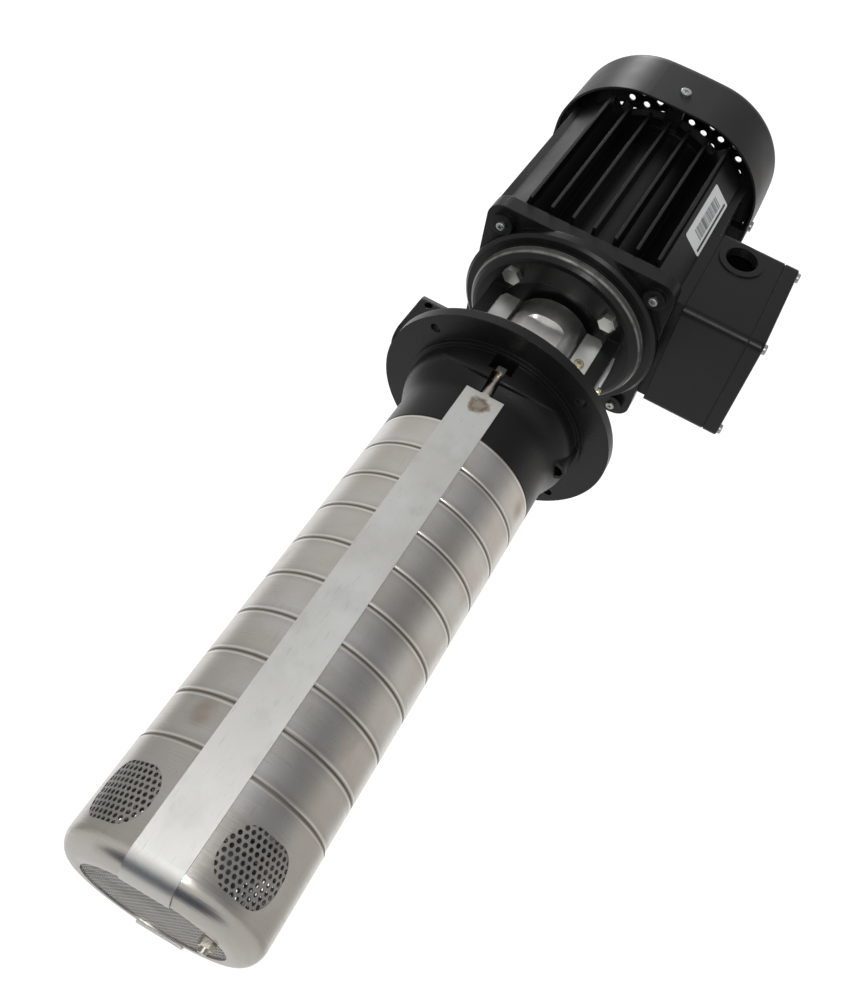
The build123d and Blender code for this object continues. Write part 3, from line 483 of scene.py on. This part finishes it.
def chamber_steel():
    """Pressed stainless with marks round it, grimy joints, a painted highlight line beside each
    joint, and faint heat tints.
    """
    steel = Finish("stainless_sheet", Metallic=1.0)
    z = steel.axes()[2]
    bottom = stack_end / MM
    top = chamber_high.z / MM
    cup = pitch / MM
    from_joint = abs((z - bottom + cup / 2) % cup - cup / 2)
    in_stack = z > bottom - 2.0
    grime = from_joint.fade(1.5, 0.15) * in_stack
    haze = from_joint.fade(7.0, 1.0) * in_stack * 0.22
    # painted highlight: a bright line about 2 mm from each joint, where the lips catch the light
    painted_lip_highlight = abs(from_joint - 1.9).fade(0.9, 0.2) * in_stack
    stains = steel.noise(36.0, 6.0, (1.0, 1.0, 0.5), 0.65).fade(0.56, 0.8)
    scratches = steel.noise(700.0, 2.0, (1.0, 1.0, 0.06)).fade(0.64, 0.74) * 0.22
    marks = steel.noise(60.0, 3.0, (1.0, 1.0, 26.0))
    cloud = steel.noise(24.0, 4.0, (1.0, 1.0, 1.6))
    left_tint = spot(steel, -28, bottom + 17, radius=7, reach=5)
    right_tint = spot(steel, 69, top - 11, radius=6, reach=5)
    heat = left_tint + right_tint
    warm = steel.mix(cloud.fade(0.35, 0.7), straw, clean_steel)
    tinted = steel.mix(heat * cloud.fade(0.3, 0.6) * 0.6, warm, heat_brown)
    stained = steel.mix(stains * 0.45 + scratches, tinted, stain_grey)
    dirty = steel.mix(grime * 0.8 + haze, stained, joint_grime)
    steel.tune(Base_Color=steel.mix(painted_lip_highlight * 0.7, dirty, lip_highlight_colour))
    steel.tune(Roughness=marks * 0.16 + 0.22 + grime * 0.3 + stains * 0.14)
    steel.relief(marks + cloud * 1.5, 0.05 * MM)
    return steel


chamber_sheet = chamber_steel()
print("chamber sheet ready")


# %% Strip steel of the straps
fresh_strip = (0.74, 0.74, 0.72)
satin_strip = (0.66, 0.655, 0.63)
rubbed_strip = (0.40, 0.40, 0.39)
weld_brown = (0.22, 0.15, 0.08)


def strip_steel():
    """Satin strip with marks along it and a brown blotch from the weld behind it."""
    steel = Finish("strap_steel", Metallic=1.0)
    x, _, z = steel.axes()
    marks = steel.noise(70.0, 4.0, (26.0, 26.0, 1.0))
    cloud = steel.noise(22.0, 4.0)
    up = z - (strap_top - weld_drop) / MM
    wander = steel.noise(260.0, 3.0)
    out = (x * x + up * up) ** 0.5 + wander * 6.0 - 3.0
    ring = abs(out - 4.6).fade(2.4, 0.4) * steel.noise(420.0, 3.0).fade(0.3, 0.6)
    blotch = out.fade(8.4, 6.2) * 0.62
    plain = steel.mix(cloud.fade(0.35, 0.7), satin_strip, fresh_strip)
    scuffs = steel.noise(900.0, 2.0, (1.0, 1.0, 0.12)).fade(0.58, 0.75) * 0.3
    dull_patches = steel.noise(60.0, 5.0).fade(0.5, 0.8) * 0.25
    worn = steel.mix(scuffs + dull_patches, plain, rubbed_strip)
    steel.tune(Base_Color=steel.mix(ring * 0.3 + blotch, worn, weld_brown))
    steel.tune(Roughness=marks * 0.14 + 0.28 + cloud * 0.08)
    steel.relief(marks, 0.02 * MM)
    return steel


strap_sheet = strip_steel()
print("strap sheet ready")


# %% Turned and plated metals
def turned_metal(name, colour, roughness, stretch=(1.0, 1.0, 12.0), depth=0.01):
    """Bare machined or plated metal with fine marks, stretched up to run round the shaft."""
    metal = Finish(name, Metallic=1.0)
    marks = metal.noise(220.0, 3.0, stretch)
    cloud = metal.noise(45.0, 3.0)
    dull = tuple(c * 0.72 for c in colour)
    metal.tune(Base_Color=metal.mix(cloud.fade(0.4, 0.75), colour, dull))
    metal.tune(Roughness=marks * 0.18 + roughness)
    metal.relief(marks, depth * MM)
    return metal


evenly = (1, 1, 1)
bare_metals = [
    turned_metal("screen_steel", (0.40, 0.39, 0.37), 0.34, evenly),
    turned_metal("stainless_turned", (0.58, 0.54, 0.48), 0.2),
    turned_metal("zinc_steel", (0.50, 0.52, 0.49), 0.3, evenly),
    turned_metal("bracket_steel", (0.86, 0.86, 0.85), 0.34, evenly),
    turned_metal("coupling_alloy", (0.86, 0.85, 0.83), 0.26, (0.15, 0.15, 4), depth=0.0),
    turned_metal("bearing_steel", (0.6, 0.6, 0.6), 0.15),
    turned_metal("laminations", (0.3, 0.3, 0.31), 0.45, (1, 1, 60)),
    turned_metal("brass_stud", (0.72, 0.52, 0.22), 0.25),
]
metals = [chamber_sheet, strap_sheet, *bare_metals]
print("metals", [metal.name for metal in metals])

# %% [markdown]
# ## Inside the housings
#
# Rubber, moulded plastic, seal rings and copper wire are hardly seen, but a part is
# looked at from every side and taken apart, so they get a finish as well.


# %% Rubber, plastic, seal rings and wire
def moulded(name, colour, roughness, grain):
    """Plain moulded material with a fine skin."""
    made = Finish(name)
    cloud = made.noise(60.0, 3.0)
    made.tune(Base_Color=made.mix(cloud.fade(0.4, 0.8), colour, lighter(colour, 1.4)))
    made.tune(Roughness=cloud * 0.15 + roughness)
    made.relief(made.noise(900.0), grain * MM)
    return made


def wound_wire():
    """Enamelled copper turns, seen as fine ridges round the ring."""
    wire = Finish("copper_wire", Metallic=0.8)
    turns = wire.noise(120.0, 2.0, (1.0, 1.0, 14.0))
    wire.tune(Base_Color=wire.mix(turns, (0.36, 0.14, 0.05), (0.62, 0.29, 0.12)))
    wire.tune(Roughness=turns * 0.2 + 0.25)
    wire.relief(turns, 0.2 * MM)
    return wire


inner = [
    moulded("seal_carbide", (0.03, 0.03, 0.032), 0.12, grain=0.0),
    moulded("rubber_black", (0.015, 0.015, 0.015), 0.6, grain=0.03),
    moulded("fan_plastic", (0.02, 0.02, 0.02), 0.45, grain=0.02),
    moulded("board_plastic", (0.05, 0.04, 0.03), 0.4, grain=0.02),
    wound_wire(),
]
finishes = {made.name: made.material for made in (*paints, *metals, *inner)}
print("finishes", len(finishes))

# %% [markdown]
# ## Giving each node its finish
#
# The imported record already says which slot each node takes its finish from, so the
# record is followed and nothing is listed twice.

# %% Dress the nodes
for part in frame["record"]["subparts"]:
    node = frame["nodes"][part["node"]]
    node.data.materials.clear()
    node.data.materials.append(finishes[part["material_slot"]])


# %% The same for a new piece
def ready(piece, name, slot, body="pump_frame", finish=None):
    """Name a piece, give it its slot's finish or one of its own, and let it ride on a body."""
    piece.name = name
    piece.data.materials.clear()
    piece.data.materials.append(finish.material if finish else finishes[slot])
    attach(piece, body)
    print(name, "faces", len(piece.data.polygons))


print("slots", sorted(finishes))

# %% [markdown]
# ## Perforated screens
#
# Behind the four windows lies a perforated sleeve, and the floor opening has a
# perforated plate. Round holes are punched in staggered rows. One cell is enough: a
# round edge inside a hexagon. Two of them make the stagger, an array makes the
# sheet, and a bend rolls it up.

# %% One cell of perforated sheet
sleeve_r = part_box("side_screen")[1].x
screen_t = 0.8 * MM
# height of the sleeve, and of its middle below the lowest chamber
sleeve_h = 40.0 * MM
window_drop = 31.0 * MM
holes_round = 94
hole_share = 0.33
hole_pitch = tau * sleeve_r / holes_round
hole_r = hole_pitch * hole_share
row_step = hole_pitch * sqrt(3) / 2


def perforated_cell():
    """A hexagonal cell with a round hole, flat in X and Y, and its staggered twin."""
    fresh()
    bpy.ops.mesh.primitive_circle_add(vertices=12, radius=hole_r, rotation=(0, 0, pi / 6))
    cell = bpy.context.object
    settle(cell)
    edit(cell)
    select_by("VERT")
    bpy.ops.mesh.select_all(action="SELECT")
    bpy.ops.mesh.extrude_edges_move()
    grow = hole_pitch / 2 / hole_r
    bpy.ops.transform.resize(value=(grow, grow, 1))

    def is_corner(vert):
        """Every second outer vertex, 30 degrees off the X axis and each 60 on."""
        turn = degrees(atan2(vert.co.y, vert.co.x)) % 60
        return vert.co.length > hole_r * 1.2 and abs(turn - 30) < 5

    pick(cell, is_corner, "verts")
    to_corner = 2 / sqrt(3)
    bpy.ops.transform.resize(value=(to_corner, to_corner, 1))
    fresh()
    twin = copy_to(cell, "twin", (hole_pitch / 2, row_step, 0))
    return join([cell, twin], "cell")


def perforated_sheet(columns, row_pairs):
    """A flat sheet of cells centred on the origin, in X and Y."""
    sheet = perforated_cell()
    step = {"use_relative_offset": False, "use_constant_offset": True, "fit_type": "FIXED_COUNT"}
    modifier(sheet, "ARRAY", count=columns, constant_offset_displace=(hole_pitch, 0, 0), **step)
    modifier(sheet, "ARRAY", count=row_pairs, constant_offset_displace=(0, 2 * row_step, 0), **step)
    apply_all(sheet)
    sheet.location = (-(columns - 0.5) / 2 * hole_pitch, -(row_pairs - 0.5) * row_step, 0)
    settle(sheet)
    merge_all(sheet, hole_pitch * 0.01)
    return sheet


print("hole pitch mm", round(hole_pitch / MM, 2), "hole mm", round(2 * hole_r / MM, 2))

# %% Roll the sleeve
sleeve = perforated_sheet(holes_round, int(sleeve_h / (2 * row_step)))
modifier(sleeve, "SOLIDIFY", thickness=screen_t, offset=-1.0)
sleeve.rotation_euler = (pi / 2, 0, 0)
apply_all(sleeve)
settle(sleeve)
modifier(sleeve, "SIMPLE_DEFORM", deform_method="BEND", deform_axis="Z", angle=tau)
apply_all(sleeve)
merge_all(sleeve, hole_pitch * 0.02)
depths = [corner[1] for corner in sleeve.bound_box]
sleeve.location = (0, -(min(depths) + max(depths)) / 2, stack_end - window_drop)
settle(sleeve)
ready(sleeve, "perforated_sleeve", "screen_steel")
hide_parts("side_screen")
print("sleeve radius mm", round(max(v.co.x for v in sleeve.data.vertices) / MM, 2))

# %% Cut the floor plate from the same sheet
floor_low, floor_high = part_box("bottom_screen")
plate_r = floor_high.x
kept_r = plate_r - 0.4 * MM
columns = ceil(2 * plate_r / hole_pitch) + 1
floor_plate = perforated_sheet(columns, ceil(plate_r / row_step) + 1)
edit(floor_plate)
select_by("FACE")
pick(floor_plate, lambda f: f.calc_center_median().length > kept_r)
bpy.ops.mesh.delete(type="FACE")
fresh()
modifier(floor_plate, "SOLIDIFY", thickness=screen_t, offset=0.0)
floor_plate.location = (0, 0, (floor_low.z + floor_high.z) / 2)
apply_all(floor_plate)
settle(floor_plate)
ready(floor_plate, "perforated_floor", "screen_steel")
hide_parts("bottom_screen")

# %% [markdown]
# ## Screw heads with a cross recess
#
# The CAD screws have plain round heads. One pan head is modelled: a cylinder, its
# upper edge rounded, and a tapered cross cut into it. Copies stand where the CAD
# screws are, each turned a little differently, as a hand leaves them.


# %% A cutter for the cross recess
def cross_cutter(width, length, depth):
    """A tapered cross centred on z = 0, narrower at its lower end."""
    taper = 0.55
    arms = []
    for turn in (0.0, pi / 2):
        fresh()
        bpy.ops.mesh.primitive_cube_add(size=1.0)
        arm = bpy.context.object
        arm.scale = (length, width, 2 * depth)
        arm.rotation_euler = (0, 0, turn)
        settle(arm)
        edit(arm)
        select_by("FACE")
        pick(arm, lambda f: f.normal.z < -0.9)
        bpy.ops.transform.resize(value=(taper, taper, 1), center_override=(0, 0, 0))
        fresh()
        arms.append(arm)
    modifier(arms[0], "BOOLEAN", operation="UNION", object=arms[1], solver="EXACT")
    apply_all(arms[0])
    bpy.data.objects.remove(arms[1])
    return arms[0]


print("cross cutter ready")


# %% One pan-head screw
def pan_head(head_r, head_h, shank_r, length):
    """A screw with its seat at the origin, head towards +Z and shank below."""
    fresh()
    bpy.ops.mesh.primitive_cylinder_add(vertices=40, radius=head_r, depth=head_h)
    head = bpy.context.object
    head.location = (0, 0, head_h / 2)
    settle(head)
    edit(head)
    select_by("EDGE")
    pick(head, lambda e: all(v.co.z > head_h * 0.9 for v in e.verts), "edges")
    bpy.ops.mesh.bevel(offset=head_h * 0.45, segments=4, profile=0.6, affect="EDGES")
    fresh()
    cutter = cross_cutter(width=head_r * 0.32, length=head_r * 1.25, depth=head_h * 0.65)
    cutter.location = (0, 0, head_h)
    settle(cutter)
    modifier(head, "BOOLEAN", operation="DIFFERENCE", object=cutter, solver="EXACT")
    apply_all(head)
    bpy.data.objects.remove(cutter)
    fresh()
    bpy.ops.mesh.primitive_cylinder_add(vertices=24, radius=shank_r, depth=length)
    shank = bpy.context.object
    shank.location = (0, 0, -length / 2)
    settle(shank)
    screw = join([head, shank], "screw")
    soften(screw)
    return screw


print("pan head ready")


# %% Screws in the places of the plain ones
def screws_for(node, way_of, head_r, head_h, shank_r, name, finish=None):
    """Modelled screws in the places of a node's plain ones; way_of says where a head points."""
    first_turn, next_turn = 25, 50
    pieces = []
    for number, (middle, low, high) in enumerate(solid_boxes(node)):
        way = way_of(middle)
        half = (high - low) / 2
        reach = abs(way.x) * half.x + abs(way.y) * half.y + abs(way.z) * half.z
        master = pan_head(head_r, head_h, shank_r, 2 * reach - head_h)
        turned = Quaternion((0, 0, 1), radians(first_turn + next_turn * number))
        aim = way.to_track_quat("Z", "Y") @ turned
        pieces.append(copy_to(master, "screw", middle + way * (reach - head_h), aim.to_euler()))
        bpy.data.objects.remove(master)
    made = join(pieces, name)
    ready(made, name, "zinc_steel", finish=finish)
    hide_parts(node)


def from_shaft(middle):
    """The level axis that points away from the shaft at this place."""
    if abs(middle.x) > abs(middle.y):
        return Vector((1 if middle.x > 0 else -1, 0, 0))
    return Vector((0, 1 if middle.y > 0 else -1, 0))


print("places of screws ready")

# %% The four kinds of screw
# the side plate's screw lies beyond this distance from the shaft
leg_outer = 50.0 * MM
rightward, forward, down = Vector((1, 0, 0)), Vector((0, -1, 0)), Vector((0, 0, -1))


def guard_way(middle):
    """The side plate's screw points along X, the two on the brackets towards -Y."""
    return rightward if middle.x > leg_outer else forward


yellow_zinc = turned_metal("yellow_zinc", (0.62, 0.56, 0.38), 0.24, evenly)
# head radius, head height and shank radius of each kind
m4 = (3.9 * MM, 2.4 * MM, 2.0 * MM)
m4_lid = (4.2 * MM, 2.6 * MM, 2.0 * MM)
m5 = (5.0 * MM, 2.6 * MM, 2.5 * MM)
m5_small_head = (3.6 * MM, 2.6 * MM, 2.5 * MM)
screws_for("guard_screws", guard_way, *m4, "guard_pan_heads", finish=yellow_zinc)
screws_for("lid_screws", lambda middle: rightward, *m4_lid, "lid_pan_heads")
screws_for("fan_cover_screws", from_shaft, *m5, "cover_pan_heads")
screws_for("corner_screws", lambda middle: down, *m5_small_head, "corner_pan_heads")

# %% [markdown]
# ## Threads
#
# The solids keep plain bores and studs. A thread is a small ridge that climbs: a
# triangle drawn beside the axis and wound up by a screw modifier.


# %% Helical ridges
def thread(radius, height, pitch, length, inward, sunk=0.05 * MM):
    """A ridge on a cylinder about Z from z = 0; inward is +1 for a nut, -1 for a bolt.

    Its foot is sunk a little in the wall or the shank, so that no gap shows.
    """
    fresh()
    bpy.ops.mesh.primitive_circle_add(vertices=3, radius=1.0, fill_type="NOTHING")
    ridge = bpy.context.object
    edit(ridge)
    mesh = bmesh.from_edit_mesh(ridge.data)
    foot = radius + inward * sunk
    half = 0.46 * pitch
    outline = [(foot, 0, -half), (foot, 0, half), (foot - inward * height, 0, 0)]
    for vert, place in zip(mesh.verts, outline):
        vert.co = place
    bmesh.update_edit_mesh(ridge.data)
    fresh()
    turns = int(length / pitch) - 1
    steps = {"steps": 40, "render_steps": 40}
    modifier(ridge, "SCREW", axis="Z", angle=tau, screw_offset=pitch, iterations=turns, **steps)
    apply_all(ridge)
    ridge.location = (0, 0, pitch)
    settle(ridge)
    face_out(ridge)
    return ridge


def bore_thread(name, mount_name, slot, pitch, height=0.8 * MM):
    """A thread in the bore of a mount, which is known from the record."""
    mount = next(row for row in frame["record"]["mounts"] if row["name"] == mount_name)
    size = mount["dims"]
    ridge = thread(size["r_mm"] * MM, height, pitch, size["length_mm"] * MM, inward=1)
    into = -Vector(mount["axis"])
    ridge.rotation_euler = into.to_track_quat("Z", "Y").to_euler()
    ridge.location = mount["pos_m"]
    settle(ridge)
    ready(ridge, name, slot)


bore_thread("port_thread", "discharge_port", "cast_black", 2.31 * MM)
bore_thread("entry_thread", "cable_entry", "box_black", 1.5 * MM)

# %% Threads of the strap studs
stud_r = 3.5 * MM
stud_pitch = 1.25 * MM
stud_ridge = 0.3 * MM
threaded = 14.0 * MM
plain_tip = 1.5 * MM
studs = []
for middle, _, high in solid_boxes("strap_studs"):
    ridge = thread(stud_r, stud_ridge, stud_pitch, threaded, inward=-1)
    ridge.location = (middle.x, middle.y, high.z - plain_tip - threaded)
    settle(ridge)
    studs.append(ridge)
ready(join(studs, "stud_threads"), "stud_threads", "stainless_turned")

# %% [markdown]
# ## A bare label
#
# A white sticker lies on the slanting flat between the fins and the terminal box. It
# carries plain bars and a black line, and no words or numbers.


# %% Paper and print
paper_white = (0.78, 0.79, 0.80)
field_grey = (0.33, 0.34, 0.36)
bar_grey = (0.10, 0.10, 0.11)
line_black = (0.02, 0.02, 0.02)


def within(value, half):
    """1 where a value is within half of zero, with a narrow soft edge."""
    return abs(value).fade(half + 0.005, half)


def label_paper(centre_z, shift, length, width, bar_h=0.7):
    """White paper with a grey field of bars and one black line, on the slanting flat.

    Sizes are in mm; `along` and `across` are shares of the length and the width.
    """
    paper = Finish("label_paper", Roughness=0.35)
    x, y, z = paper.axes()
    along = (z - centre_z) / length
    across = ((x + y) / sqrt(2) - shift) / width
    field = within(along - 0.02, 0.33) * within(across + 0.02, 0.23)
    cell = (z / bar_h).whole()
    bar = paper.node("TexWhiteNoise", {"noise_dimensions": "1D"}, {"W": cell}).fade(0.48, 0.52)
    line = within(along, 0.455) * within(across - 0.35, 0.045)
    printed = paper.mix(field * 0.55, paper_white, field_grey)
    barred = paper.mix(field * bar * 0.8, printed, bar_grey)
    paper.tune(Base_Color=paper.mix(line, barred, line_black))
    return paper


label_w, label_l, label_t = 22.0 * MM, 76.0 * MM, 0.16 * MM
label_corner_r = 2.0 * MM
# its middle: height, shift along the flat, and distance of the flat from the shaft
label_z = 224.0 * MM
label_shift = 2.0 * MM
flat_r = 94.0 * MM
paper = label_paper(label_z / MM, label_shift / MM, label_l / MM, label_w / MM)
print("paper", paper.name)

# %% Sticker
fresh()
bpy.ops.mesh.primitive_cube_add(size=1.0)
sticker = bpy.context.object
sticker.scale = (label_w, label_t, label_l)
settle(sticker)
edit(sticker)
select_by("EDGE")
pick(sticker, lambda e: abs((e.verts[0].co - e.verts[1].co).y) > label_t / 2, "edges")
bpy.ops.mesh.bevel(offset=label_corner_r, segments=5, affect="EDGES")
fresh()
sticker.rotation_euler = (0, 0, radians(45))
sticker.location = ((flat_r + label_shift) * sqrt(0.5), (label_shift - flat_r) * sqrt(0.5), label_z)
settle(sticker)
ready(sticker, "bare_label", None, finish=paper)

# %% [markdown]
# ## Floor, light and camera
#
# The pump hangs upright in its own frame. The camera looks up at it from the front
# and is rolled, so that the pump lies aslant in the picture. The world is white
# where the camera looks, and a ring of uneven greys elsewhere, because metal is
# seen by what it mirrors. The floor far below is pale, with a dark blue-grey mat in
# front of the pump that gives the rounded edge of the strainer its dark band.

# %% Floor
floor_drop = 0.45
fresh()
bpy.ops.mesh.primitive_plane_add(size=12.0, location=(0, 0, cad_low.z - floor_drop))
ground = bpy.context.object
ground.name = "studio_floor"
floor_paint = Finish("studio_floor", Specular_IOR_Level=0.2)
x, y = floor_paint.split(floor_paint.place())[:2]
mat_y = -0.24
mat = abs(y - mat_y).fade(0.26, 0.18) * abs(x).fade(0.7, 0.6)
pale, slate = (0.86, 0.86, 0.85), (0.05, 0.06, 0.09)
floor_paint.tune(Base_Color=floor_paint.mix(mat, pale, slate), Roughness=0.7)
ground.data.materials.append(floor_paint.material)
print("floor at", round(cad_low.z - floor_drop, 3))


# %% World
def studio_world(name, ahead, around, low_share, strength):
    """White straight ahead, and a ring of uneven greys to be mirrored in the metal.

    `around` holds (degrees from -Y towards +X, grey, warmth) in rising order, and
    `low_share` is how much of the light is left near the floor.
    """
    white_within, grey_beyond = 38, 50
    world = bpy.data.worlds.new(name)
    room = Sheet(world)
    way = room.node("TexCoord", output="Generated")
    x, y, z = room.split(way)
    turn = x.maths("ARCTAN2", y * -1.0)
    stops = []
    for azimuth, grey, warmth in around:
        stops.append((azimuth / 360 + 0.5, (grey * (1 + warmth), grey, grey * (1 - warmth))))
    ring = room.ramp(turn * (1 / tau) + 0.5, stops)
    near_floor = z.fade(0.55, 0.05)
    dimmed = room.mix(near_floor * (1 - low_share), ring, (0.0, 0.0, 0.0))
    off_axis = room.node("VectorMath", {"operation": "DOT_PRODUCT"}, {0: way, 1: ahead}, output=1)
    white = off_axis.fade(cos(radians(grey_beyond)), cos(radians(white_within)))
    backdrop = world.node_tree.nodes["Background"]
    room.feed(backdrop.inputs["Color"], room.mix(white, dimmed, (1.0, 1.0, 1.0)))
    room.feed(backdrop.inputs["Strength"], strength)
    bpy.context.scene.world = world


ring_of_greys = [
    (-180, 1.0, 0.0),
    (-150, 1.0, 0.0),
    (-118, 0.50, 0.02),
    (-60, 0.66, 0.01),
    (-12, 0.60, 0.0),
    (22, 0.50, -0.01),
    (55, 0.26, -0.02),
    (76, 0.34, 0.0),
    (98, 0.74, 0.03),
    (140, 0.66, 0.04),
    (168, 0.95, 0.02),
    (180, 1.0, 0.0),
]
ahead = Vector((-0.23, 0.76, 0.61)).normalized()
studio_world("pale_studio", ahead, ring_of_greys, low_share=0.55, strength=1.12)
bpy.context.scene.view_settings.view_transform = "Standard"
print("world", bpy.context.scene.world.name)


# %% Lamps
def soft_light(name, place, target, size, power):
    """A square area light that looks at a point."""
    lamp = bpy.data.lights.new(name, "AREA")
    lamp.size = size
    lamp.energy = power
    holder = bpy.data.objects.new(name, lamp)
    bpy.context.scene.collection.objects.link(holder)
    holder.location = place
    holder.rotation_euler = (Vector(target) - Vector(place)).to_track_quat("-Z", "Y").to_euler()


soft_light("low_window", (-0.34, -1.6, -0.16), (0, 0, -0.3), size=0.3, power=1.0)
soft_light("ceiling", (-0.9, -0.5, 2.0), (0, 0, 0.1), size=0.5, power=8)
soft_light("front_lamp", (0.14, -0.72, -0.44), (0, 0, 0.1), size=0.12, power=1.6)
print("lamps", len(bpy.data.lights))

# %% Camera
focal_length = 37.92
off_centre = (-0.1528, -0.1344)
eye_place = (0.1208, -0.6074, -0.4517)
eye_turn = (135.567, -24.018, -14.164)
lens = bpy.data.cameras.new("camera")
lens.lens = focal_length
lens.shift_x, lens.shift_y = off_centre
eye = bpy.data.objects.new("camera", lens)
bpy.context.scene.collection.objects.link(eye)
eye.location = eye_place
eye.rotation_euler = [radians(angle) for angle in eye_turn]
lens.clip_start = 0.01
bpy.context.scene.camera = eye
print("camera at", tuple(round(v, 3) for v in eye.location))
